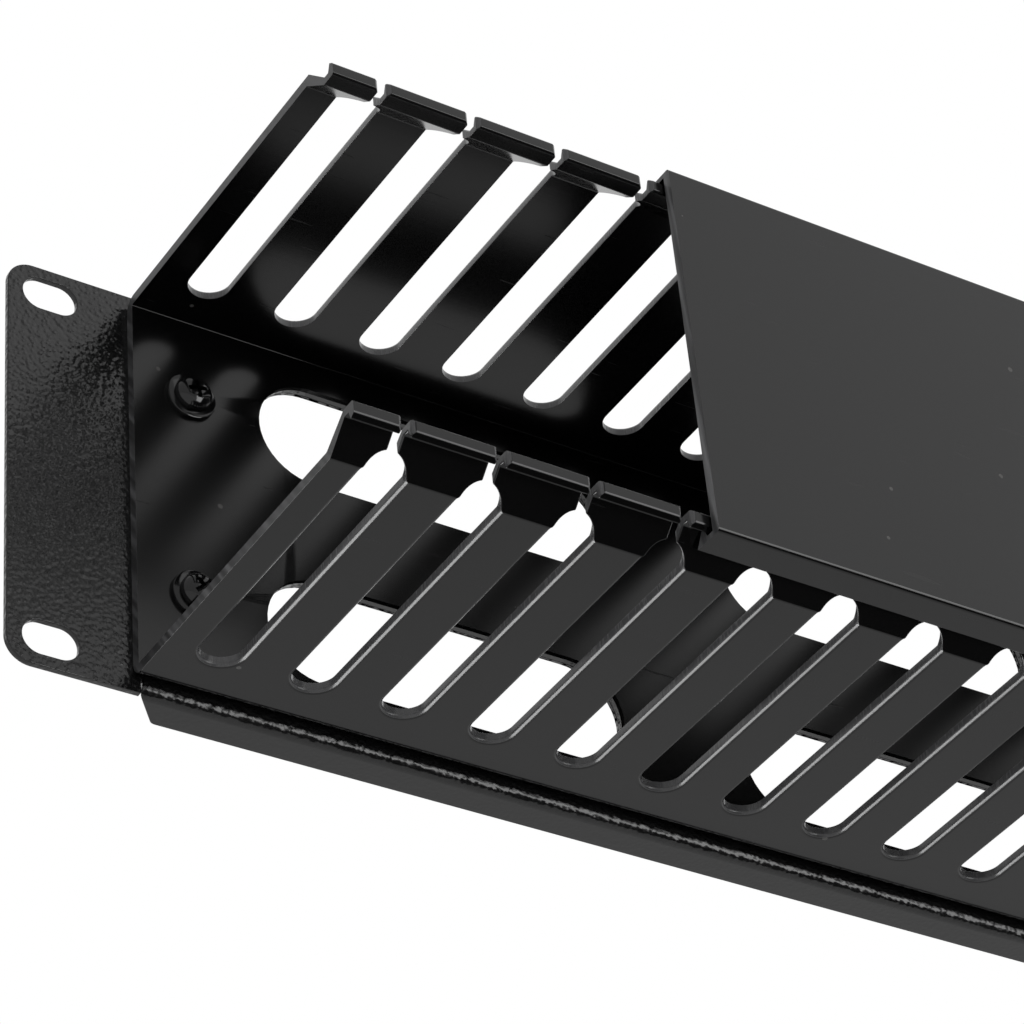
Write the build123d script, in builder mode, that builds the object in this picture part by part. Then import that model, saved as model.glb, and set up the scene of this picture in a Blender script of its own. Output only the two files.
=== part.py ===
from build123d import *
import os

os.makedirs("parts", exist_ok=True)

# Sizes are in millimetres. The origin is the middle of the panel's rear face, which meets the
# rack's posts. X runs to the right as seen from the front, Y to the rear and Z up.

# Rack panel: one folded steel sheet, two rack units high
panel_width = 482.0
panel_height = 88.1
panel_sheet = 1.2
ear_corner_radius = 5.0
flange_depth = 6.4
flange_length = 430.0
flange_end_slant = 5.2
flange_corner_radius = 1.5
bend_inner_radius = 0.8
relief_width = 0.6
relief_past_bend = 1.0

# Slots in the ears for the rack's screws
rack_slot_spacing_x = 465.1
rack_slot_spacing_z = 76.2
rack_slot_length = 10.8
rack_slot_height = 7.0

# Cable duct: an open channel, screwed to the panel's front face
duct_length = 434.0
duct_height = 84.0
duct_depth = 76.0
duct_lift = 0.5
duct_wall = 2.0
duct_back = 2.0
duct_outer_radius = 2.8
duct_inner_radius = 0.8

# Slots between the fingers, with round ends, and the narrow gaps between the finger heads
slot_count = 24
slot_pitch = 18.0
slot_width = 8.0
slot_rear_end = 9.4
slot_front_end = 70.9
head_gap = 1.8
head_corner_chamfer = 0.6

# Finger heads: each wall slopes in to a neck, and a hook stands out in front of the neck
shoulder_length = 5.1
shoulder_drop = 5.0
shoulder_root_lead = 1.0
shoulder_neck_lead = 0.3
neck_wall = 1.5
neck_length = 1.2
hook_length = 1.7
hook_height = 1.8
hook_back_lean = 0.6
hook_front_drop = 0.8
hook_inner_bevel = 0.4

# Ports through the duct's back and the panel behind it, in two rows
port_columns = 4
port_rows = 2
port_length = 75.2
port_height = 22.2
port_pitch = 102.4
row_pitch = 44.4
panel_port_margin = 0.4

# Cover: clips over the hooks and slides along them
cover_length = 434.0
cover_plate = 1.8
cover_leg = 1.0
cover_depth = 6.5
cover_lip_tip = 0.8
cover_corner_radius = 0.8
cover_end_skew = 1.0
cover_rest_shift = 68.1
cover_front_clearance = 0.3
cover_hook_clearance = 0.35
cover_side_clearance = 0.35

# Fastenings that hold the duct on the panel, one near each corner of the duct
screw_spacing = 411.0
screw_diameter = 4.0
screw_length = 10.0
screw_hole_clearance = 0.5
screw_head_diameter = 7.2
screw_head_height = 2.5
screw_head_chamfer = 0.8
recess_width = 0.9
recess_span = 4.2
recess_depth = 1.6
washer_diameter = 9.8
washer_thickness = 0.9
washer_hole_clearance = 0.3
lock_washer_diameter = 8.0
lock_washer_thickness = 0.5
lock_washer_teeth = 10
lock_tooth_gap = 0.9
lock_tooth_depth = 0.8
nut_across_flats = 7.0
nut_height = 3.2
thread_clearance = 0.05

# Planes: forward is measured from the panel's front face, up from the duct's middle
front_face = Plane(origin=(0, -panel_sheet, duct_lift), x_dir=(1, 0, 0), z_dir=(0, -1, 0))
side_section = Plane(origin=(0, -panel_sheet, duct_lift), x_dir=(0, -1, 0), z_dir=(-1, 0, 0))
plan_view = Plane(origin=(0, -panel_sheet, duct_lift), x_dir=(1, 0, 0), z_dir=(0, 0, -1))

# Places along the duct's depth where the finger heads and the cover change shape
half_duct = duct_height / 2
half_neck = half_duct - shoulder_drop
half_hook = half_neck + hook_height
hook_start = duct_depth - hook_length
neck_start = hook_start - neck_length
shoulder_start = neck_start - shoulder_length
screw_hole = screw_diameter + screw_hole_clearance


# Rack panel: a shallow channel with slanted flange ends, and a flat ear on each side of it
bend_outer_radius = bend_inner_radius + panel_sheet
relief_depth = bend_outer_radius + relief_past_bend
half_panel = panel_height / 2
half_flange = flange_length / 2

with BuildPart() as rack_panel:
    with BuildSketch(Plane.YZ):
        with BuildLine():
            FilletPolyline(
                (flange_depth, half_panel),
                (-panel_sheet, half_panel),
                (-panel_sheet, -half_panel),
                (flange_depth, -half_panel),
                radius=bend_outer_radius,
            )
            offset(amount=panel_sheet, side=Side.LEFT)
        make_face()
    extrude(amount=half_flange, both=True)
    with BuildSketch(Plane.XY) as flange_outline:
        with BuildLine():
            Polyline(
                (-half_flange, -panel_sheet),
                (half_flange, -panel_sheet),
                (half_flange, 0),
                (half_flange - flange_end_slant, flange_depth),
                (-half_flange + flange_end_slant, flange_depth),
                (-half_flange, 0),
                close=True,
            )
        make_face()
        fillet(flange_outline.vertices().group_by(Axis.Y)[-1], flange_corner_radius)
    extrude(amount=panel_height, both=True, mode=Mode.INTERSECT)
    with BuildSketch(Plane.XZ):
        RectangleRounded(panel_width, panel_height, ear_corner_radius)
        with GridLocations(0, panel_height, 1, 2):
            Rectangle(flange_length + 2 * relief_width, 2 * relief_depth, mode=Mode.SUBTRACT)
    extrude(amount=panel_sheet)
    with BuildSketch(Plane.XZ):
        with GridLocations(rack_slot_spacing_x, rack_slot_spacing_z, 2, 2):
            SlotOverall(rack_slot_length, rack_slot_height)
    extrude(amount=panel_sheet, mode=Mode.SUBTRACT)
    with BuildSketch(front_face):
        with GridLocations(port_pitch, row_pitch, port_columns, port_rows):
            SlotOverall(port_length + 2 * panel_port_margin, port_height + 2 * panel_port_margin)
        with GridLocations(screw_spacing, row_pitch, 2, 2):
            Circle(screw_hole / 2)
    extrude(amount=-panel_sheet, mode=Mode.SUBTRACT)
rack_panel.part.label = "rack_panel"
export_step(rack_panel.part, "parts/rack_panel.step")


# Outline of one finger slot, seen from above: an oblong hole, then the narrow gap between two
# finger heads, which opens out again at its mouth
half_gap = head_gap / 2
slot_round_start = slot_front_end - slot_width / 2

with BuildSketch() as finger_slot:
    with Locations((0, (slot_rear_end + slot_front_end) / 2)):
        SlotOverall(slot_front_end - slot_rear_end, slot_width, rotation=90)
    with Locations((0, slot_round_start)):
        Rectangle(head_gap, duct_depth - slot_round_start, align=(Align.CENTER, Align.MIN))
    with BuildLine():
        Polyline(
            (-half_gap, duct_depth - head_corner_chamfer),
            (-half_gap - head_corner_chamfer, duct_depth),
            (half_gap + head_corner_chamfer, duct_depth),
            (half_gap, duct_depth - head_corner_chamfer),
            close=True,
        )
    make_face()


# Cable duct: the channel with its finger heads, then the slots, ports and screw holes
with BuildPart() as cable_duct:
    with BuildSketch(side_section) as duct_section:
        with BuildLine():
            upper_wall = Polyline(
                (0, half_duct),
                (shoulder_start, half_duct),
                (neck_start, half_neck),
                (hook_start, half_neck),
                (hook_start + hook_back_lean, half_hook),
                (duct_depth, half_hook - hook_front_drop),
                (duct_depth, half_neck - neck_wall + hook_inner_bevel),
                (duct_depth - hook_inner_bevel, half_neck - neck_wall),
                (neck_start - shoulder_neck_lead, half_neck - neck_wall),
                (shoulder_start - shoulder_root_lead, half_duct - duct_wall),
                (duct_back, half_duct - duct_wall),
            )
            mirror(upper_wall, about=Plane.XZ)
            Line((0, half_duct), (0, -half_duct))
            Line((duct_back, half_duct - duct_wall), (duct_back, -half_duct + duct_wall))
        make_face()
        back_corners = duct_section.vertices().group_by(Axis.X)
        fillet(back_corners[0], duct_outer_radius)
        fillet(back_corners[1], duct_inner_radius)
    extrude(amount=duct_length / 2, both=True)
    with BuildSketch(plan_view):
        with GridLocations(slot_pitch, 0, slot_count, 1):
            add(finger_slot.sketch)
    extrude(amount=duct_height, both=True, mode=Mode.SUBTRACT)
    with BuildSketch(front_face):
        with GridLocations(port_pitch, row_pitch, port_columns, port_rows):
            SlotOverall(port_length, port_height)
        with GridLocations(screw_spacing, row_pitch, 2, 2):
            Circle(screw_hole / 2)
    extrude(amount=duct_back, mode=Mode.SUBTRACT)
cable_duct.part.label = "cable_duct"
export_step(cable_duct.part, "parts/cable_duct.step")


# Cover: a flat plate with a leg along each edge, whose lip catches behind the hooks. It lies slid
# to the right, and its left end was sawn a little out of square
cover_back = duct_depth + cover_front_clearance
cover_front = cover_back + cover_plate
leg_end = cover_front - cover_depth
leg_inside = half_hook + cover_side_clearance
half_cover = leg_inside + cover_leg
lip_tip = half_neck + cover_side_clearance
hook_lean_rate = hook_back_lean / hook_height
lip_face_tip = hook_start - cover_hook_clearance + (lip_tip - half_neck) * hook_lean_rate
lip_face_root = hook_start - cover_hook_clearance + (leg_inside - half_neck) * hook_lean_rate
right_end = side_section.offset(-cover_rest_shift - cover_length / 2)
saw_cut = Plane(
    origin=(cover_rest_shift - cover_length / 2, 0, duct_lift),
    x_dir=(0, 1, 0),
    z_dir=(2 * half_cover, 0, cover_end_skew),
)

with BuildPart() as cover:
    with BuildSketch(right_end) as cover_section:
        with BuildLine():
            upper_leg = Polyline(
                (cover_front, half_cover),
                (leg_end, half_cover),
                (lip_face_tip - cover_lip_tip, lip_tip),
                (lip_face_tip, lip_tip),
                (lip_face_root, leg_inside),
                (cover_back, leg_inside),
            )
            mirror(upper_leg, about=Plane.XZ)
            Line((cover_front, half_cover), (cover_front, -half_cover))
            Line((cover_back, leg_inside), (cover_back, -leg_inside))
        make_face()
        fillet(cover_section.vertices().group_by(Axis.X)[-1], cover_corner_radius)
    extrude(amount=cover_length + cover_end_skew)
    split(bisect_by=saw_cut, keep=Keep.TOP)
cover.part.label = "cover"
export_step(cover.part, "parts/cover.step")


# Fastenings: at each corner a pan-head screw and a flat washer inside the duct, and a toothed
# lock washer and a hexagon nut behind the panel. Each recess is turned as its screw stopped
corners = {
    "upper_left": (-1, 1, 12),
    "lower_left": (-1, -1, 38),
    "upper_right": (1, 1, 67),
    "lower_right": (1, -1, 25),
}
washer_front = duct_back + washer_thickness
nut_front = panel_sheet + lock_washer_thickness
shank_radius = screw_diameter / 2

for corner, (side, row, recess_turn) in corners.items():
    seat = Plane(
        origin=(side * screw_spacing / 2, -panel_sheet, duct_lift + row * row_pitch / 2),
        x_dir=(1, 0, 0),
        z_dir=(0, -1, 0),
    )

    with BuildPart() as screw:
        with BuildSketch(seat.offset(washer_front)):
            Circle(screw_head_diameter / 2)
        extrude(amount=screw_head_height)
        chamfer(screw.edges().sort_by(Axis.Y)[0], screw_head_chamfer)
        with BuildSketch(seat.offset(washer_front)):
            Circle(shank_radius)
        extrude(amount=-screw_length)
        with BuildSketch(seat.offset(washer_front + screw_head_height)):
            Rectangle(recess_span, recess_width, rotation=recess_turn)
            Rectangle(recess_width, recess_span, rotation=recess_turn)
        extrude(amount=-recess_depth, mode=Mode.SUBTRACT)
    screw.part.label = f"screw_{corner}"
    export_step(screw.part, f"parts/screw_{corner}.step")

    with BuildPart() as washer:
        with BuildSketch(seat.offset(duct_back)):
            Circle(washer_diameter / 2)
            Circle((screw_diameter + washer_hole_clearance) / 2, mode=Mode.SUBTRACT)
        extrude(amount=washer_thickness)
    washer.part.label = f"washer_{corner}"
    export_step(washer.part, f"parts/washer_{corner}.step")

    with BuildPart() as lock_washer:
        with BuildSketch(seat.offset(-panel_sheet)):
            Circle(lock_washer_diameter / 2)
            Circle((screw_diameter + washer_hole_clearance) / 2, mode=Mode.SUBTRACT)
            with PolarLocations(lock_washer_diameter / 2, lock_washer_teeth):
                Rectangle(2 * lock_tooth_depth, lock_tooth_gap, mode=Mode.SUBTRACT)
        extrude(amount=-lock_washer_thickness)
    lock_washer.part.label = f"lock_washer_{corner}"
    export_step(lock_washer.part, f"parts/lock_washer_{corner}.step")

    with BuildPart() as nut:
        with BuildSketch(seat.offset(-nut_front)):
            RegularPolygon(nut_across_flats / 2, side_count=6, major_radius=False)
            Circle(shank_radius + thread_clearance, mode=Mode.SUBTRACT)
        extrude(amount=-nut_height)
    nut.part.label = f"nut_{corner}"
    export_step(nut.part, f"parts/nut_{corner}.step")
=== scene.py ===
import math

import bmesh
import bpy
from bpy.props import FloatProperty, FloatVectorProperty, IntProperty, PointerProperty
from bpy.types import Operator, Panel, PropertyGroup
from mathutils import Matrix, Vector


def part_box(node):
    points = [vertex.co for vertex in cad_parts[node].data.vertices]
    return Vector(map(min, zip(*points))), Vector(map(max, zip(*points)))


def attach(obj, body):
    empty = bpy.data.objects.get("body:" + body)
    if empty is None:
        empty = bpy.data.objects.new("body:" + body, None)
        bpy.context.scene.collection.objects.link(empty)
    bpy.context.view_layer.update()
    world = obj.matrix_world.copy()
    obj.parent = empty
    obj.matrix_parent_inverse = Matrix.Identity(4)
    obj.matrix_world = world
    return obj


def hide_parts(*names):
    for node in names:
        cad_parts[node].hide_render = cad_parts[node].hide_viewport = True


bl_info = {
    "name": "Horizontal Cable Manager",
    "version": (1, 0, 0),
    "blender": (4, 5, 0),
    "location": "View3D > Sidebar > Cable Manager",
    "description": "Dresses the packed cable manager: coated panel, punched duct, cover and fixings",
    "category": "Object",
}

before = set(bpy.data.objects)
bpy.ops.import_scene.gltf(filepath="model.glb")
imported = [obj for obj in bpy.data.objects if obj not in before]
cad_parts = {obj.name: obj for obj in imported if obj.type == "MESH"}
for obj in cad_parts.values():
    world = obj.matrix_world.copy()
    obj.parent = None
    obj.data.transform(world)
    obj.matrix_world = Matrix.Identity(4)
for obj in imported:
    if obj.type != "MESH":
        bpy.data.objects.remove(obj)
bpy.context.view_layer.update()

MM = 0.001
FIXED_BODY = "panel_and_duct"
COVER_BODY = "cover"
CORNERS = ("upper_left", "lower_left", "upper_right", "lower_right")

PANEL_LOW, PANEL_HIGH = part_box("rack_panel")
DUCT_LOW, DUCT_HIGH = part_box("cable_duct")
DUCT_MIDDLE = (DUCT_LOW + DUCT_HIGH) / 2
COVER_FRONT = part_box("cover")[0].y

# Room left when a corner is compared with a packed face, so that rounding errors don't count
SLACK = 0.01 * MM

# How strongly the coat, the plating and the plastic mirror, as the shader's index of refraction
COATED_IOR = 1.6
PLASTIC_IOR = 1.5

# Nearly all values of a noise lie between these two
NOISE_LOW, NOISE_HIGH = 0.3, 0.7


# Settings that a user would change


class EdgeSettings(PropertyGroup):
    """Radii of the rounded edges"""

    punched: FloatProperty(
        name="Punched edge",
        description="Radius that the punch rolls over on each slot's outer edge",
        default=0.85 * MM,
        subtype="DISTANCE",
        unit="LENGTH",
    )
    head: FloatProperty(
        name="Head edge",
        description="Radius round the clip heads at the fingers' tips",
        default=0.35 * MM,
        subtype="DISTANCE",
        unit="LENGTH",
    )
    burr: FloatProperty(
        name="Burr edge",
        description="Radius left on the side where the punch comes out",
        default=0.10 * MM,
        subtype="DISTANCE",
        unit="LENGTH",
    )
    cover_fold: FloatProperty(
        name="Cover fold",
        description="Radius where the cover's plate turns into its legs",
        default=0.55 * MM,
        subtype="DISTANCE",
        unit="LENGTH",
    )
    extruded: FloatProperty(
        name="Extruded edge",
        description="Radius of the long edges that the plastic's die leaves",
        default=0.22 * MM,
        subtype="DISTANCE",
        unit="LENGTH",
    )
    sawn: FloatProperty(
        name="Sawn edge",
        description="Radius of the edges round a sawn end",
        default=0.03 * MM,
        subtype="DISTANCE",
        unit="LENGTH",
    )
    coated: FloatProperty(
        name="Coated edge",
        description="Radius that the powder coat gives to the sheet's edges",
        default=0.18 * MM,
        subtype="DISTANCE",
        unit="LENGTH",
    )
    steps: IntProperty(
        name="Steps",
        description="Number of facets across each rounded edge",
        default=3,
        min=1,
        max=6,
    )


class FixingSettings(PropertyGroup):
    """Sizes of the screws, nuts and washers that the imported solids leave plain"""

    thread: FloatProperty(
        name="Thread",
        description="Outside diameter of the screws' thread",
        default=4.0 * MM,
        subtype="DISTANCE",
        unit="LENGTH",
    )
    pitch: FloatProperty(
        name="Pitch",
        description="Distance that one turn of the thread climbs",
        default=0.7 * MM,
        subtype="DISTANCE",
        unit="LENGTH",
    )
    cross_span: FloatProperty(
        name="Cross span",
        description="Width of the driver's cross at the top of the head",
        default=4.2 * MM,
        subtype="DISTANCE",
        unit="LENGTH",
    )
    cross_width: FloatProperty(
        name="Cross arm",
        description="Width of one arm of the driver's cross",
        default=0.95 * MM,
        subtype="DISTANCE",
        unit="LENGTH",
    )
    recess: FloatProperty(
        name="Recess",
        description="Depth of the driver's cross",
        default=1.6 * MM,
        subtype="DISTANCE",
        unit="LENGTH",
    )
    recess_turns: FloatVectorProperty(
        name="Recess turns",
        description="Turn of each screw's cross: upper left, lower left, upper right, lower right",
        default=tuple(math.radians(turn) for turn in (12.0, 38.0, 67.0, 25.0)),
        size=4,
        subtype="NONE",
        unit="ROTATION",
    )
    teeth: IntProperty(
        name="Lock washer teeth",
        description="Number of teeth round each lock washer",
        default=10,
        min=6,
        max=16,
    )


class FinishSettings(PropertyGroup):
    """Colours, and the grain of the coat"""

    coat: FloatVectorProperty(
        name="Powder coat",
        description="Colour of the textured coat on the steel panel",
        default=(0.005, 0.005, 0.0052),
        subtype="COLOR",
        min=0.0,
        max=1.0,
    )
    coat_grain: FloatProperty(
        name="Coat grain",
        description="Size of one bump in the powder coat's texture",
        default=0.62 * MM,
        subtype="DISTANCE",
        unit="LENGTH",
    )
    duct: FloatVectorProperty(
        name="Duct plastic",
        description="Colour of the duct's black plastic",
        default=(0.0018, 0.0018, 0.0019),
        subtype="COLOR",
        min=0.0,
        max=1.0,
    )
    cover: FloatVectorProperty(
        name="Cover plastic",
        description="Colour of the cover's black plastic",
        default=(0.0018, 0.0018, 0.0019),
        subtype="COLOR",
        min=0.0,
        max=1.0,
    )
    punched: FloatVectorProperty(
        name="Punched plastic",
        description="Colour of the plastic where the punch stressed it and left it greyer",
        # Paler than stress whitening alone would make it: part of this colour is painted sheen that makes
        # the slot walls look lit
        default=(0.075, 0.075, 0.077),
        subtype="COLOR",
        min=0.0,
        max=1.0,
    )
    sawn: FloatVectorProperty(
        name="Sawn duct end",
        description="Colour of the duct's plastic where it was sawn",
        default=(0.06, 0.06, 0.062),
        subtype="COLOR",
        min=0.0,
        max=1.0,
    )
    cover_sawn: FloatVectorProperty(
        name="Sawn cover end",
        description="Colour of the cover's plastic where it was sawn",
        default=(0.11, 0.11, 0.113),
        subtype="COLOR",
        min=0.0,
        max=1.0,
    )
    hardware: FloatVectorProperty(
        name="Fixings",
        description="Colour of the black plating on the screws, washers and nuts",
        default=(0.003, 0.003, 0.0032),
        subtype="COLOR",
        min=0.0,
        max=1.0,
    )


class StageSettings(PropertyGroup):
    """Floor, room light and camera"""

    floor_drop: FloatProperty(
        name="Floor drop",
        description="Distance from the object's middle down to the floor, which lies below the camera",
        default=0.60,
        subtype="DISTANCE",
        unit="LENGTH",
    )
    daylight: FloatProperty(
        name="Room light",
        description="Strength of the even light that falls on the object from all round",
        default=0.80,
        min=0.0,
    )
    camera_place: FloatVectorProperty(
        name="Camera place",
        description="Where the camera stands, to the left of the object, in front of it and below it",
        default=(-0.47958, -0.49673, -0.43264),
        subtype="XYZ",
        unit="LENGTH",
    )
    camera_forward: FloatVectorProperty(
        name="Camera direction",
        description="Direction in which the camera looks",
        default=(0.45553, 0.65616, 0.60162),
        subtype="DIRECTION",
    )
    camera_down: FloatVectorProperty(
        name="Camera down",
        description="Direction that points down in the picture",
        default=(0.26799, 0.54339, -0.79556),
        subtype="DIRECTION",
    )
    camera_lens: FloatProperty(
        name="Lens",
        description="Focal length on a sensor 36 mm wide, in millimetres",
        default=140.11,
        min=10.0,
    )


# Shader arithmetic


class Wire:
    """A shader socket that can be written into plain arithmetic."""

    def __init__(self, tree, socket=None):
        self.tree = tree
        self.socket = socket

    def node(self, kind, settings=None, inputs=None, out=0):
        """Adds one node with its settings and its inputs, and gives the output named or numbered out."""
        made = self.tree.nodes.new(kind)
        for name, value in (settings or {}).items():
            setattr(made, name, value)
        for name, value in (inputs or {}).items():
            if isinstance(value, Wire):
                self.tree.links.new(value.socket, made.inputs[name])
            else:
                made.inputs[name].default_value = value
        return Wire(self.tree, made.outputs[out] if len(made.outputs) else None)

    def maths(self, operation, *terms):
        return self.node("ShaderNodeMath", {"operation": operation}, dict(enumerate(terms)))

    def __add__(self, other):
        return self.maths("ADD", self, other)

    def __sub__(self, other):
        return self.maths("SUBTRACT", self, other)

    def __rsub__(self, other):
        return self.maths("SUBTRACT", other, self)

    def __mul__(self, other):
        return self.maths("MULTIPLY", self, other)

    def __lt__(self, other):
        return self.maths("LESS_THAN", self, other)

    def remap(self, low, high, to_low=0.0, to_high=1.0):
        """This value moved from one range to another, smoothly and held at the ends."""
        values = {"Value": self, "From Min": low, "From Max": high, "To Min": to_low, "To Max": to_high}
        return self.node("ShaderNodeMapRange", {"interpolation_type": "SMOOTHSTEP"}, values)

    def mix(self, first, second):
        """A colour that goes from the first to the second as this value goes from 0 to 1."""
        values = {0: self, 6: first, 7: second}
        return self.node("ShaderNodeMix", {"data_type": "RGBA"}, values, out=2)

    def stretch(self, scale, turn=(0.0, 0.0, 0.0)):
        """These coordinates turned and then scaled along each axis."""
        values = {"Vector": self, "Rotation": turn, "Scale": scale}
        return self.node("ShaderNodeMapping", {"vector_type": "POINT"}, values)

    def noise(self, scale, detail=2.0, roughness=0.5):
        """Soft clouds, with about as many to a metre as the scale says."""
        values = {"Vector": self, "Scale": scale, "Detail": detail, "Roughness": roughness}
        return self.node("ShaderNodeTexNoise", None, values)

    def cells(self, scale, feature="F1", out=0):
        """Scattered cells: the distance to the nearest centre, or with out="Color" a colour for each."""
        values = {"Vector": self, "Scale": scale}
        return self.node("ShaderNodeTexVoronoi", {"feature": feature}, values, out=out)


def colour(values, gain):
    """A colour made darker or lighter, with the fourth number that a shader's colour has."""
    return (values[0] * gain, values[1] * gain, values[2] * gain, 1.0)


def grey(level):
    return colour((level, level, level), gain=1.0)


def start_material(name):
    """A new material with an empty tree, and the object's own coordinates in metres."""
    material = bpy.data.materials.new(name)
    material.use_nodes = True
    material.node_tree.nodes.clear()
    place = Wire(material.node_tree).node("ShaderNodeTexCoord", out="Object")
    return material, place


def finish_material(material, place, base, rough, relief=None, constants=None):
    """Joins a colour and a roughness to one shader, with the values of a bump node for its relief."""
    values = {"Base Color": base, "Roughness": rough, **(constants or {})}
    if relief:
        values["Normal"] = place.node("ShaderNodeBump", None, relief)
    shader = place.node("ShaderNodeBsdfPrincipled", None, values)
    place.node("ShaderNodeOutputMaterial", None, {"Surface": shader})
    return material


# Finishes


def flange_share(place):
    """0 on the panel's face, rising round its bends to 1 on the flanges."""
    bend_start, bend_end = PANEL_LOW.y + 0.2 * MM, PANEL_LOW.y + 1.8 * MM
    rim_start, rim_end = PANEL_HIGH.z - 2.4 * MM, PANEL_HIGH.z - 0.6 * MM
    depth = place.node("ShaderNodeSeparateXYZ", None, {"Vector": place}, out="Y")
    rise = place.node("ShaderNodeSeparateXYZ", None, {"Vector": place}, out="Z")
    return depth.remap(bend_start, bend_end) * rise.maths("ABSOLUTE", rise).remap(rim_start, rim_end)


def powder_coat(finish):
    """Black powder coat: a fine beaded skin that catches small glints and lies smoother on the flanges."""
    lump_share, bead_share, flange_calm = 0.25, 0.75, 0.85
    glossy, satin = 0.14, 0.20
    material, place = start_material("powder_coat")
    grain = 1.0 / finish.coat_grain
    lumps = place.noise(0.55 * grain, detail=2.0, roughness=0.55)
    beads = 1.0 - place.cells(0.72 * grain, feature="SMOOTH_F1")
    flange = flange_share(place)
    height = (lumps * lump_share + beads * bead_share) * (1.0 - flange * flange_calm)
    cloud = place.noise(22.0, detail=3.0)
    base = cloud.mix(colour(finish.coat, gain=0.85), colour(finish.coat, gain=1.2))
    rough = cloud.remap(NOISE_LOW, NOISE_HIGH, glossy, satin) + lumps * 0.06 + flange * 0.10
    relief = {"Height": height, "Distance": 0.26 * MM, "Strength": 0.8}
    return finish_material(material, place, base, rough, relief, {"IOR": COATED_IOR})


def dust(place, per_metre, share):
    """A mask of sparse small specks: the share of the cells that hold one is given."""
    speck_radius = 0.22
    tint = place.cells(per_metre, out="Color")
    chance = place.node("ShaderNodeSeparateColor", None, {"Color": tint}, out="Red")
    return (chance < share) * (place.cells(per_metre) < speck_radius)


def extruded_plastic(name, tone):
    """Rigid extruded plastic: satin, with faint die lines along it, fine scuffs and a little dust."""
    glossy, satin = 0.16, 0.22
    dust_colour = (0.09, 0.088, 0.085, 1.0)
    material, place = start_material(name)
    die_lines = place.stretch((2.0, 260.0, 260.0)).noise(4.0, detail=3.0, roughness=0.6)
    scuffs = place.stretch((40.0, 900.0, 350.0), turn=(0.2, 0.5, 0.35)).noise(1.6, detail=2.0)
    scratch = scuffs.remap(0.70, 0.74)
    cloud = place.noise(9.0, detail=3.0)
    specks = dust(place, per_metre=420.0, share=0.007)
    clean = cloud.mix(colour(tone, gain=0.9), colour(tone, gain=1.12))
    base = (specks * 0.8).mix(clean, dust_colour)
    rough = cloud.remap(NOISE_LOW, NOISE_HIGH, glossy, satin) + scratch * 0.12 + specks * 0.3
    relief = {"Height": die_lines * 0.5 - scratch * 0.3, "Distance": 0.02 * MM, "Strength": 0.35}
    return finish_material(material, place, base, rough, relief, {"IOR": PLASTIC_IOR})


def punched_plastic_with_painted_sheen(tone):
    """The slots' punched walls: a duller face with short marks across the wall, in a pale colour that is
    partly stress-whitened plastic and partly painted sheen.
    """
    satin, dull = 0.20, 0.30
    material, place = start_material("duct_punched_painted_sheen")
    marks = place.stretch((700.0, 900.0, 120.0)).noise(1.5, detail=3.0, roughness=0.6)
    base = marks.mix(colour(tone, gain=0.75), colour(tone, gain=1.25))
    rough = marks.remap(NOISE_LOW, NOISE_HIGH, satin, dull)
    relief = {"Height": marks, "Distance": 0.04 * MM, "Strength": 0.3}
    return finish_material(material, place, base, rough, relief, {"IOR": PLASTIC_IOR})


def sawn_plastic(name, tone, lean):
    """A sawn end: slanting blade marks, chalky ridges and darker grooves."""
    dull, chalky = 0.42, 0.6
    material, place = start_material(name)
    turned = place.stretch((1.0, 1.0, 1.0), turn=(lean, 0.0, 0.0))
    ridges = turned.stretch((0.0, 650.0, 40.0)).noise(1.0)
    patches = turned.stretch((0.0, 320.0, 25.0)).noise(1.0)
    mark = ridges.remap(0.35, 0.7) * patches.remap(0.25, 0.75, 0.5, 1.0)
    base = mark.mix(colour(tone, gain=0.35), colour(tone, gain=1.7))
    rough = mark.remap(0.0, 1.0, dull, chalky)
    relief = {"Height": ridges, "Distance": 0.06 * MM, "Strength": 0.6}
    return finish_material(material, place, base, rough, relief, {"IOR": PLASTIC_IOR})


def black_plating(finish):
    """Black plating on the fixings: glossy, with slight stains."""
    bright, dim = 0.07, 0.13
    material, place = start_material("black_plating")
    stain = place.noise(500.0, detail=3.0)
    base = stain.mix(colour(finish.hardware, gain=0.7), colour(finish.hardware, gain=1.5))
    rough = stain.remap(0.3, 0.75, bright, dim)
    relief = {"Height": stain, "Distance": 0.02 * MM, "Strength": 0.3}
    return finish_material(material, place, base, rough, relief, {"IOR": COATED_IOR})


# Meshes


def joined_facets(node):
    """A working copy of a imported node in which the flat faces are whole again."""
    weld_reach = 0.002 * MM
    flat_turn = math.radians(1.0)
    work = bmesh.new()
    work.from_mesh(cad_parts[node].data)
    bmesh.ops.remove_doubles(work, verts=work.verts, dist=weld_reach)
    bmesh.ops.dissolve_limit(work, angle_limit=flat_turn, verts=work.verts, edges=work.edges)
    for corner_data in list(work.loops.layers.float_vector.values()):
        work.loops.layers.float_vector.remove(corner_data)
    return work


def keep_piece(work, name, node, body, materials):
    """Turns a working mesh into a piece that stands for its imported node."""
    mesh = bpy.data.meshes.new(name)
    work.to_mesh(mesh)
    work.free()
    for stale in ("custom_normal", "sharp_face", "sharp_edge"):
        if stale in mesh.attributes:
            mesh.attributes.remove(mesh.attributes[stale])
    for material in materials:
        mesh.materials.append(material)
    mesh.polygons.foreach_set("use_smooth", [True] * len(mesh.polygons))
    piece = bpy.data.objects.new(name, mesh)
    bpy.context.collection.objects.link(piece)
    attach(piece, body)
    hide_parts(node)
    return piece


def round_edges(piece, widest, steps):
    """Rounds the weighted edges and keeps the flat faces flat in shading."""
    bevel = piece.modifiers.new("rounded edges", "BEVEL")
    bevel.limit_method = "WEIGHT"
    bevel.width = widest
    bevel.segments = steps
    bevel.use_clamp_overlap = False
    bevel.loop_slide = False
    shading = piece.modifiers.new("flat shading", "WEIGHTED_NORMAL")
    shading.weight = 80
    shading.keep_sharp = False


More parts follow.
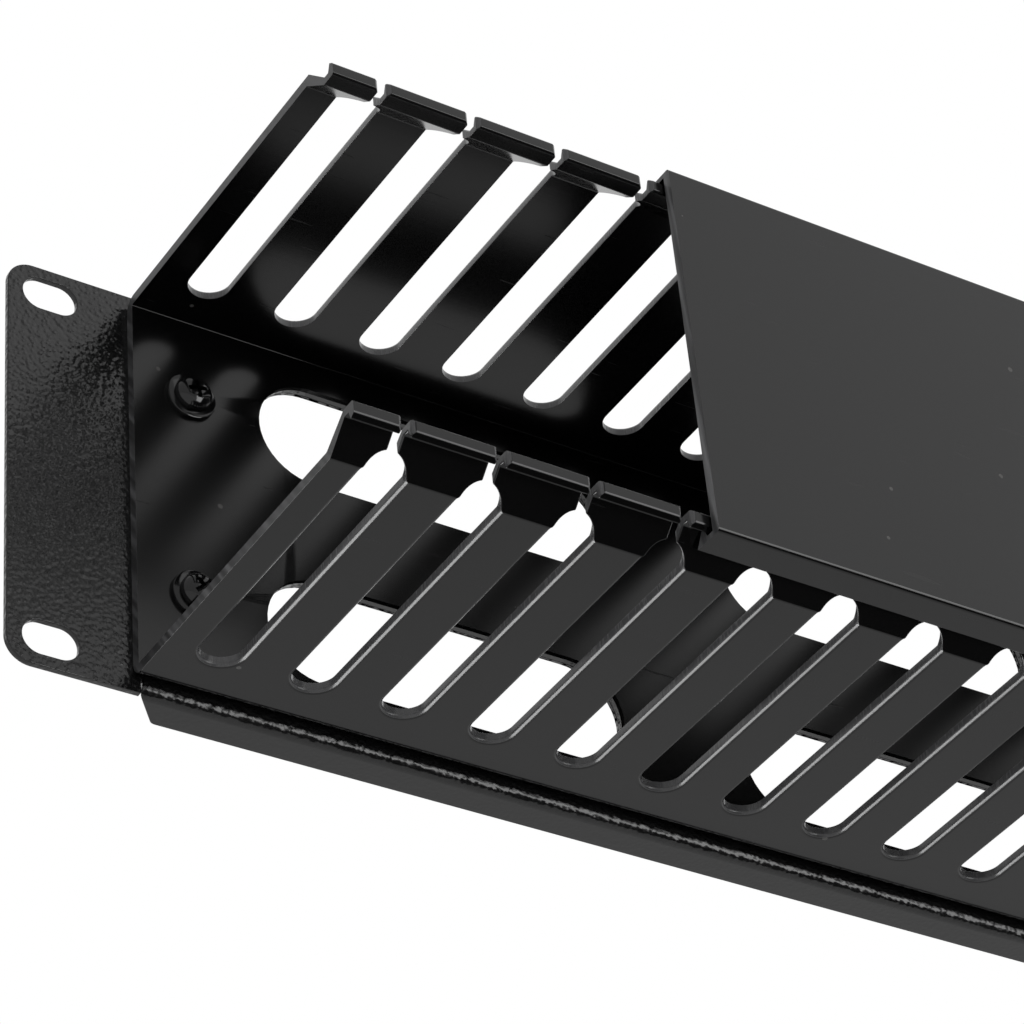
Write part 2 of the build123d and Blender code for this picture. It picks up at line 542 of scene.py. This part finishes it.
def soften(piece):
    """Smooth shading on a turned piece, apart from its creases."""
    crease = math.radians(28.0)
    piece.data.set_sharp_from_angle(angle=crease)


def weigh_edges(work, widest, radius_of):
    """Gives each sharp edge its rounding, as a share of the widest one."""
    least_turn = math.radians(20.0)
    weights = work.edges.layers.float.new("bevel_weight_edge")
    for edge in work.edges:
        if len(edge.link_faces) == 2 and edge.calc_face_angle(0.0) > least_turn:
            edge[weights] = radius_of(edge) / widest


def is_cut_wall(face):
    """True for a face that stands upright, as the punch and the saw leave them."""
    lean = 0.02
    return abs(face.normal.z) < lean


# Pieces


class DressPanel(Operator):
    """Round the folded sheet's edges and give it its powder coat"""

    bl_idname = "cable_manager.dress_panel"
    bl_label = "Rack panel"

    def execute(self, context):
        edges = context.scene.cable_manager_edges
        finish = context.scene.cable_manager_finish
        work = joined_facets("rack_panel")
        duct_end = DUCT_HIGH.x + 0.2 * MM
        rear_face = 0.1 * MM

        def radius(edge):
            hidden = all(abs(vert.co.x) < duct_end and vert.co.y < rear_face for vert in edge.verts)
            return 0.0 if hidden else edges.coated

        weigh_edges(work, edges.coated, radius)
        materials = [powder_coat(finish)]
        piece = keep_piece(work, "coated_panel", "rack_panel", FIXED_BODY, materials)
        round_edges(piece, edges.coated, edges.steps)
        return {"FINISHED"}


class DressDuct(Operator):
    """Roll over the punched edges of the duct and mark its sawn ends"""

    bl_idname = "cable_manager.dress_duct"
    bl_label = "Cable duct"

    def execute(self, context):
        edges = context.scene.cable_manager_edges
        finish = context.scene.cable_manager_finish
        work = joined_facets("cable_duct")
        back_thickness = 2.0 * MM
        back_face = DUCT_HIGH.y - back_thickness - SLACK
        back_half_height = (DUCT_HIGH.z - DUCT_LOW.z) / 2 - 4 * MM
        head_front = DUCT_LOW.y + 0.1 * MM
        head_back = DUCT_LOW.y + 8.1 * MM
        wall_root = DUCT_HIGH.y - 5 * MM
        longest_slot_end = 20 * MM
        smooth, punched, sawn = range(3)

        def at_end(face):
            past_middle = abs(face.calc_center_median().x - DUCT_MIDDLE.x)
            return abs(face.normal.x) > 0.99 and past_middle > DUCT_HIGH.x - DUCT_MIDDLE.x - SLACK

        def on_back(vert):
            return vert.co.y > back_face and abs(vert.co.z - DUCT_MIDDLE.z) < back_half_height

        def radius(edge):
            first, second = edge.link_faces
            if at_end(first) or at_end(second):
                return edges.sawn
            if all(on_back(vert) for vert in edge.verts):
                return 0.0
            if is_cut_wall(first) == is_cut_wall(second):
                return edges.extruded
            wall, face = (first, second) if is_cut_wall(first) else (second, first)
            faces_front = abs(wall.normal.x) < 0.01
            if faces_front and edge.calc_length() > longest_slot_end:
                return edges.extruded
            outside = (face.calc_center_median().z - DUCT_MIDDLE.z) * face.normal.z > 0
            if not outside:
                return edges.burr
            return edges.head if max(vert.co.y for vert in edge.verts) < head_back else edges.punched

        weigh_edges(work, edges.punched, radius)
        for face in work.faces:
            if at_end(face):
                face.material_index = sawn
            elif is_cut_wall(face) and head_front < face.calc_center_median().y < wall_root:
                face.material_index = punched
            else:
                face.material_index = smooth
        materials = [
            extruded_plastic("duct_plastic", finish.duct),
            # The punched walls' pale colour is partly real stress whitening and partly painted sheen
            punched_plastic_with_painted_sheen(finish.punched),
            sawn_plastic("duct_sawn", finish.sawn, math.radians(35.0)),
        ]
        piece = keep_piece(work, "punched_duct", "cable_duct", FIXED_BODY, materials)
        round_edges(piece, edges.punched, edges.steps)
        return {"FINISHED"}


class DressCover(Operator):
    """Round the cover's long edges and mark its sawn ends"""

    bl_idname = "cable_manager.dress_cover"
    bl_label = "Cover"

    def execute(self, context):
        edges = context.scene.cable_manager_edges
        finish = context.scene.cable_manager_finish
        work = joined_facets("cover")

        def at_end(face):
            return abs(face.normal.x) > 0.9

        def radius(edge):
            if any(at_end(face) for face in edge.link_faces):
                return edges.sawn
            if all(vert.co.y < COVER_FRONT + SLACK for vert in edge.verts):
                return edges.cover_fold
            return edges.extruded

        weigh_edges(work, edges.cover_fold, radius)
        smooth, sawn = range(2)
        for face in work.faces:
            face.material_index = sawn if at_end(face) else smooth
        materials = [
            extruded_plastic("cover_plastic", finish.cover),
            sawn_plastic("cover_sawn", finish.cover_sawn, math.radians(5.0)),
        ]
        piece = keep_piece(work, "sliding_cover", "cover", COVER_BODY, materials)
        round_edges(piece, edges.cover_fold, edges.steps)
        return {"FINISHED"}


def around(centre, radius, depth, count):
    """A ring of points round a fixing's axis, whose radius and depth may depend on the angle."""
    points = []
    for index in range(count):
        angle = 2 * math.pi * index / count
        reach = radius(angle) if callable(radius) else radius
        y = depth(angle) if callable(depth) else depth
        points.append(Vector((centre.x + reach * math.cos(angle), y, centre.z + reach * math.sin(angle))))
    return points


def skin(rings, closed):
    """A mesh that joins each ring to the next, and the last to the first or else both to caps."""
    work = bmesh.new()
    loops = [[work.verts.new(point) for point in ring] for ring in rings]
    following = loops[1:] + loops[:1] if closed else loops[1:]
    for first, second in zip(loops, following):
        for index in range(len(first)):
            work.faces.new((first[index - 1], first[index], second[index], second[index - 1]))
    if not closed:
        work.faces.new(loops[0])
        work.faces.new(loops[-1])
    bmesh.ops.recalc_face_normals(work, faces=work.faces)
    return work


def thread_radius(depth, pitch, lowest, height):
    """The radius of a thread at one depth, as a function of the angle round the axis."""

    def radius(angle):
        turn = depth / pitch + angle / (2 * math.pi)
        return lowest + height * abs(2 * (turn % 1.0) - 1)

    return radius


def spread(first, last, steps):
    """Evenly spaced values from the first to the last."""
    return [first + (last - first) * step / steps for step in range(steps + 1)]


def fixing_box(node):
    """The middle of a fixing's box, and its two corners."""
    low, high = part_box(node)
    return (low + high) / 2, low, high


def screw_rings(corner, sizes):
    """The screw's outline from its threaded tip to the top of its domed head."""
    centre, low, high = fixing_box(f"screw_{corner}")
    front, tip = low.y, high.y
    head_radius = (high.x - low.x) / 2
    head_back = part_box(f"washer_{corner}")[0].y
    crest = sizes.thread / 2
    thread_depth = 0.61 * sizes.pitch
    root = crest - thread_depth
    rings_a_turn, rings_of_dome = 8, 9
    tip_taper = 0.4 * MM
    tip_run = 0.3 * MM
    plain_neck = 0.4 * MM
    rim = 0.15 * MM
    count = 32
    rings = [around(centre, root - tip_taper, tip, count)]
    turns = (tip - head_back) / sizes.pitch
    for depth in spread(tip - tip_run, head_back + plain_neck, int(turns * rings_a_turn)):
        thread = thread_radius(depth, sizes.pitch, root, crest - root)
        rings.append(around(centre, thread, depth, count))
    rings.append(around(centre, crest, head_back, count))
    rings.append(around(centre, head_radius - rim, head_back, count))
    rings.append(around(centre, head_radius, head_back - rim, count))
    dome_start = head_back - 0.28 * (head_back - front)
    flat_top = 0.22 * head_radius
    for angle in spread(0.0, math.pi / 2, rings_of_dome):
        radius = flat_top + (head_radius - flat_top) * math.cos(angle)
        rings.append(around(centre, radius, dome_start + (front - dome_start) * math.sin(angle), count))
    return rings


def cross_cutter(corner, turn, sizes):
    """The driver's cross, which narrows toward its bottom."""
    centre, low, _ = fixing_box(f"screw_{corner}")
    front = low.y
    above, mouth, bottom = front - 0.3 * MM, front + 0.7 * MM, front + sizes.recess
    rings = []
    for depth, shrink in ((above, 1.0), (mouth, 0.86), (bottom, 0.45)):
        arm = sizes.cross_span / 2 * shrink
        web = sizes.cross_width / 2 * (0.4 + 0.6 * shrink)
        ring = []
        for quarter in range(4):
            for along, across in ((web, -web), (arm, -web), (arm, web)):
                angle = turn + quarter * math.pi / 2
                x = along * math.cos(angle) - across * math.sin(angle)
                z = along * math.sin(angle) + across * math.cos(angle)
                ring.append(Vector((centre.x + x, depth, centre.z + z)))
        rings.append(ring)
    return skin(rings, closed=False)


def carve(work, cutter):
    """The working mesh with the cutter's shape taken out of it."""
    pair = []
    for mesh_work in (work, cutter):
        mesh = bpy.data.meshes.new("carving")
        mesh_work.to_mesh(mesh)
        mesh_work.free()
        shape = bpy.data.objects.new("carving", mesh)
        bpy.context.collection.objects.link(shape)
        pair.append(shape)
    cut = pair[0].modifiers.new("recess", "BOOLEAN")
    cut.operation = "DIFFERENCE"
    cut.solver = "EXACT"
    cut.object = pair[1]
    graph = bpy.context.evaluated_depsgraph_get()
    carved = bpy.data.meshes.new_from_object(pair[0].evaluated_get(graph))
    result = bmesh.new()
    result.from_mesh(carved)
    for shape in pair:
        mesh = shape.data
        bpy.data.objects.remove(shape)
        bpy.data.meshes.remove(mesh)
    bpy.data.meshes.remove(carved)
    return result


def nut_rings(corner, sizes):
    """A hexagon nut with chamfered corners, a countersunk mouth on each side and a thread inside."""
    centre, low, high = fixing_box(f"nut_{corner}")
    near, far = low.y, high.y
    half_flats = min(high.x - low.x, high.z - low.z) / 2
    turn = 0.0 if high.x - low.x > high.z - low.z else math.pi / 6
    count = 48
    face_radius = 0.95 * half_flats
    corner_slope = math.tan(math.radians(30.0))

    def hexagon(angle):
        return half_flats / math.cos((angle - turn) % (math.pi / 3) - math.pi / 6)

    def corner_drop(angle):
        return max(hexagon(angle) - face_radius, 0.0) * corner_slope

    bore = sizes.thread / 2 + 0.05 * MM
    mouth = bore + 0.2 * MM
    mouth_depth = 0.25 * MM
    groove = 0.12 * MM
    rings_of_bore = 30
    rings = [
        around(centre, mouth, near, count),
        around(centre, face_radius, near, count),
        around(centre, hexagon, lambda angle: near + corner_drop(angle), count),
        around(centre, hexagon, lambda angle: far - corner_drop(angle), count),
        around(centre, face_radius, far, count),
        around(centre, mouth, far, count),
    ]
    for depth in spread(far - mouth_depth, near + mouth_depth, rings_of_bore):
        thread = thread_radius(depth, sizes.pitch, bore, groove)
        rings.append(around(centre, thread, depth, count))
    return rings


def washer_rings(corner, sizes):
    """A stamped washer, rounded on its front and sharp on its back."""
    centre, low, high = fixing_box(f"washer_{corner}")
    front, back = low.y, high.y
    outer = (high.x - low.x) / 2
    inner = sizes.thread / 2 + 0.15 * MM
    count = 48
    lip = 0.25 * (back - front)
    outline = (
        (inner, back),
        (inner, front + 0.5 * lip),
        (inner + 0.5 * lip, front),
        (outer - lip, front),
        (outer - 0.3 * lip, front + 0.3 * lip),
        (outer, front + lip),
        (outer, back),
    )
    return [around(centre, radius, depth, count) for radius, depth in outline]


def lock_washer_rings(corner, sizes):
    """A lock washer whose teeth are each twisted a little about their own arm."""
    centre, low, high = fixing_box(f"lock_washer_{corner}")
    outer = (high.x - low.x) / 2
    tooth_root = outer - 0.8 * MM
    plain_ring = tooth_root - 0.1 * MM
    inner = sizes.thread / 2 + 0.15 * MM
    middle = (low.y + high.y) / 2
    half = 0.36 * (high.y - low.y)
    tooth_share = 0.62
    twist = 0.1 * MM
    step = 2 * math.pi / sizes.teeth

    def across(angle):
        return 2 * (((angle + step / 2) % step) / step) - 1

    def on_tooth(angle):
        return abs(across(angle)) < tooth_share

    def edge(angle):
        return outer if on_tooth(angle) else tooth_root

    def face(side):
        return lambda angle: middle + side * half + (twist * across(angle) if on_tooth(angle) else 0.0)

    count = 12 * sizes.teeth
    return [
        around(centre, inner, middle - half, count),
        around(centre, plain_ring, middle - half, count),
        around(centre, edge, face(-1), count),
        around(centre, edge, face(1), count),
        around(centre, plain_ring, middle + half, count),
        around(centre, inner, middle + half, count),
    ]


class FitScrews(Operator):
    """Turn in the four domed cross-recess screws"""

    bl_idname = "cable_manager.fit_screws"
    bl_label = "Screws"

    def execute(self, context):
        sizes = context.scene.cable_manager_fixings
        materials = [black_plating(context.scene.cable_manager_finish)]
        for corner, turn in zip(CORNERS, sizes.recess_turns):
            plain = skin(screw_rings(corner, sizes), closed=False)
            work = carve(plain, cross_cutter(corner, turn, sizes))
            node = f"screw_{corner}"
            piece = keep_piece(work, f"domed_{node}", node, FIXED_BODY, materials)
            soften(piece)
        return {"FINISHED"}


class FitNuts(Operator):
    """Put a flat washer under each head, and a lock washer and a nut behind the panel"""

    bl_idname = "cable_manager.fit_nuts"
    bl_label = "Nuts and washers"

    def execute(self, context):
        sizes = context.scene.cable_manager_fixings
        materials = [black_plating(context.scene.cable_manager_finish)]
        shapes = {"washer": washer_rings, "lock_washer": lock_washer_rings, "nut": nut_rings}
        for corner in CORNERS:
            for kind, rings in shapes.items():
                work = skin(rings(corner, sizes), closed=True)
                node = f"{kind}_{corner}"
                piece = keep_piece(work, f"plated_{node}", node, FIXED_BODY, materials)
                soften(piece)
        return {"FINISHED"}


class SetStage(Operator):
    """Lay the pale floor, hang the lamps and set up the camera"""

    bl_idname = "cable_manager.set_stage"
    bl_label = "Stage and camera"

    def execute(self, context):
        stage = context.scene.cable_manager_stage
        lay_floor(stage)
        light_room(context.scene, stage)
        hang_lamps()
        lay_card()
        place_camera(context.scene, stage)
        context.scene.view_settings.view_transform = "Standard"
        return {"FINISHED"}


def lay_floor(stage):
    """A plain pale floor that keeps the object's shadow."""
    half_width = 30.0
    work = bmesh.new()
    bmesh.ops.create_grid(work, x_segments=4, y_segments=4, size=half_width)
    mesh = bpy.data.meshes.new("floor")
    work.to_mesh(mesh)
    work.free()
    material, place = start_material("pale_floor")
    grain = place.noise(30.0, detail=3.0)
    base = grain.mix(grey(0.66), grey(0.70))
    rough = grain.remap(NOISE_LOW, NOISE_HIGH, 0.6, 0.7)
    no_gloss = {"Specular IOR Level": 0.0}
    mesh.materials.append(finish_material(material, place, base, rough, constants=no_gloss))
    floor = bpy.data.objects.new("floor", mesh)
    floor.location = (0.0, 0.0, -stage.floor_drop)
    bpy.context.collection.objects.link(floor)


def light_room(scene, stage):
    """White behind the object, an even soft light on it, and in reflections less white beside it."""
    beside, behind = 0.42, 1.0
    world = bpy.data.worlds.new("studio")
    world.use_nodes = True
    world.node_tree.nodes.clear()
    scene.world = world
    room = Wire(world.node_tree)
    heading = room.node("ShaderNodeTexCoord", out="Generated")
    backdrop = {0: heading, 1: tuple(Vector(stage.camera_forward).normalized())}
    facing = room.node("ShaderNodeVectorMath", {"operation": "DOT_PRODUCT"}, backdrop, out="Value")
    sheen = facing.remap(0.2, 0.95, beside, behind)
    by_camera = room.node("ShaderNodeLightPath", out="Is Camera Ray")
    through_glass = room.node("ShaderNodeLightPath", out="Is Transmission Ray")
    in_gloss = room.node("ShaderNodeLightPath", out="Is Glossy Ray")
    seen = by_camera + through_glass
    strength = seen + (1.0 - seen) * (in_gloss * sheen + (1.0 - in_gloss) * stage.daylight)
    white = {"Color": grey(1.0), "Strength": strength}
    room.node("ShaderNodeOutputWorld", None, {"Surface": room.node("ShaderNodeBackground", None, white)})


def hang_lamp(name, direction, distance, size, radiance, sheen_only=False):
    """A soft box that faces the object. Its radiance is the brightness that a mirror would show."""
    light = bpy.data.lights.new(name, "AREA")
    light.shape = "RECTANGLE"
    light.size, light.size_y = size
    light.energy = radiance * math.pi * size[0] * size[1]
    lamp = bpy.data.objects.new(name, light)
    away = Vector(direction).normalized()
    lamp.location = away * distance
    lamp.rotation_euler = away.to_track_quat("Z", "Y").to_euler()
    lamp.visible_diffuse = not sheen_only
    lamp.visible_camera = False
    bpy.context.collection.objects.link(lamp)
    return lamp


def hang_lamps():
    """One soft box lights the object from the front, and two show only as sheen, one on the duct alone."""
    hang_lamp("front_box", direction=(0.45, -0.66, 0.62), distance=1.6, size=(1.2, 1.0), radiance=0.38)
    edge_box = hang_lamp(
        "edge_box",
        direction=(-0.55, 0.66, -0.40),
        distance=0.85,
        size=(0.73, 0.55),
        radiance=7.0,
        sheen_only=True,
    )
    lit_pieces = bpy.data.collections.new("lit_by_edge_box")
    lit_pieces.objects.link(bpy.data.objects["punched_duct"])
    edge_box.light_linking.receiver_collection = lit_pieces
    hang_lamp(
        "fold_box",
        direction=(0.4555, -0.886, -0.05),
        distance=1.3,
        size=(0.9, 0.9),
        radiance=3.0,
        sheen_only=True,
    )


def lay_card():
    """A black card low in front, which only reflections meet."""
    width, depth = 0.95, 0.80
    work = bmesh.new()
    bmesh.ops.create_grid(work, x_segments=2, y_segments=2, size=0.5)
    bmesh.ops.scale(work, vec=(width, depth, 1.0), verts=work.verts)
    mesh = bpy.data.meshes.new("black_card")
    work.to_mesh(mesh)
    work.free()
    material, place = start_material("black_felt")
    fibres = place.noise(900.0, detail=3.0)
    base = fibres.mix(grey(0.004), grey(0.012))
    rough = fibres.remap(NOISE_LOW, NOISE_HIGH, 0.9, 1.0)
    nap = {"Height": fibres, "Distance": 0.1 * MM, "Strength": 0.5}
    mesh.materials.append(finish_material(material, place, base, rough, nap))
    card = bpy.data.objects.new("black_card", mesh)
    card.location = (0.30, -0.58, -0.50)
    card.visible_camera = False
    card.visible_shadow = False
    card.visible_diffuse = False
    bpy.context.collection.objects.link(card)


def place_camera(scene, stage):
    """The photograph's viewpoint: from the left, in front and below."""
    data = bpy.data.cameras.new("camera")
    data.sensor_width = 36.0
    data.lens = stage.camera_lens
    camera = bpy.data.objects.new("camera", data)
    back = -Vector(stage.camera_forward).normalized()
    up = -Vector(stage.camera_down)
    right = up.cross(back).normalized()
    up = back.cross(right)
    turn = Matrix((right, up, back)).transposed()
    camera.matrix_world = Matrix.Translation(stage.camera_place) @ turn.to_4x4()
    bpy.context.collection.objects.link(camera)
    scene.camera = camera


class CableManagerPanel(Panel):
    """Lists the pieces and the settings of the cable manager"""

    bl_idname = "VIEW3D_PT_cable_manager"
    bl_label = "Cable Manager"
    bl_space_type = "VIEW_3D"
    bl_region_type = "UI"
    bl_category = "Cable Manager"

    def draw(self, context):
        for kind in OPERATORS:
            self.layout.operator(kind.bl_idname)
        for name, group in SETTINGS.items():
            column = self.layout.column()
            for prop in group.__annotations__:
                column.prop(getattr(context.scene, name), prop)


OPERATORS = (DressPanel, DressDuct, DressCover, FitScrews, FitNuts, SetStage)
SETTINGS = {
    "cable_manager_edges": EdgeSettings,
    "cable_manager_fixings": FixingSettings,
    "cable_manager_finish": FinishSettings,
    "cable_manager_stage": StageSettings,
}


def register():
    for kind in (*SETTINGS.values(), *OPERATORS, CableManagerPanel):
        bpy.utils.register_class(kind)
    for name, group in SETTINGS.items():
        setattr(bpy.types.Scene, name, PointerProperty(type=group))


def unregister():
    for name in SETTINGS:
        delattr(bpy.types.Scene, name)
    for kind in (CableManagerPanel, *reversed(OPERATORS), *reversed(list(SETTINGS.values()))):
        bpy.utils.unregister_class(kind)


def main():
    """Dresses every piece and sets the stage."""
    register()
    bpy.ops.cable_manager.dress_panel()
    bpy.ops.cable_manager.dress_duct()
    bpy.ops.cable_manager.dress_cover()
    bpy.ops.cable_manager.fit_screws()
    bpy.ops.cable_manager.fit_nuts()
    bpy.ops.cable_manager.set_stage()


if __name__ == "__main__":
    main()
